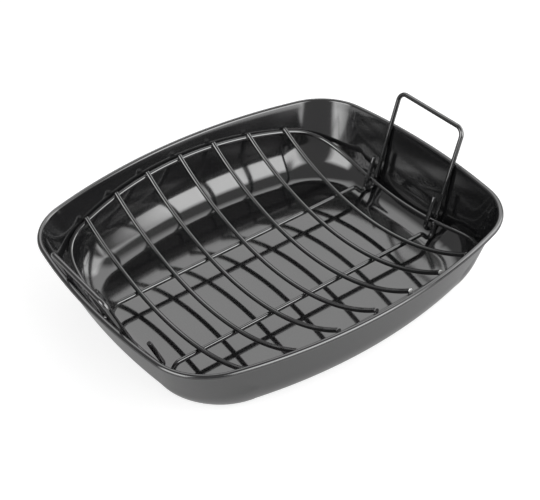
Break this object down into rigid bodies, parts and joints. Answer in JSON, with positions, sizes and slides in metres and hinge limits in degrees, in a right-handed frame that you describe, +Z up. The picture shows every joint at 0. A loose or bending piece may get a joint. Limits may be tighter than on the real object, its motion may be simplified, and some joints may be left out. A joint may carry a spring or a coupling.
{
  "type": "roasting pan with rack",
  "caption": "Rectangular roasting pan with rounded corners and a rolled rim, holding a lift-out curved wire rack with swinging wire handles.",
  "frame": {"origin": "middle of the pan's flat base, on the surface it stands on", "axes": "+X along the pan from handle to handle, +Y across it, +Z up"},
  "size_m": [0.44, 0.3706, 0.121],
  "materials": {
    "nonstick_coating": "glossy",
    "coated_wire": "satin",
    "rim_steel": "satin"
  },
  "bodies": {
    "pan": {"pan_body": "nonstick_coating", "rim_wire": "rim_steel"},
    "rack": {"rack_perimeter_wire": "coated_wire", "rack_cross_wire_1": "coated_wire", "rack_cross_wire_2": "coated_wire", "rack_cross_wire_3": "coated_wire", "rack_cross_wire_4": "coated_wire", "rack_cross_wire_5": "coated_wire", "rack_cross_wire_6": "coated_wire", "rack_cross_wire_7": "coated_wire", "rack_runner_wire_front": "coated_wire", "rack_runner_wire_back": "coated_wire"},
    "handle_left": {"handle_left": "coated_wire"},
    "handle_right": {"handle_right": "coated_wire"}
  },
  "joints": [
    {"name": "rack_lift", "type": "slide", "parent": "pan", "child": "rack", "axis": [0, 0, 1], "range_m": [0, 0.15]},
    {"name": "handle_left_swing", "type": "hinge", "parent": "rack", "child": "handle_left", "pos_m": [-0.17245, 0, 0.02037], "axis": [0, 1, 0], "range_deg": [0, 112]},
    {"name": "handle_right_swing", "type": "hinge", "parent": "rack", "child": "handle_right", "pos_m": [0.17245, 0, 0.02037], "axis": [0, -1, 0], "range_deg": [0, 112]}
  ]
}
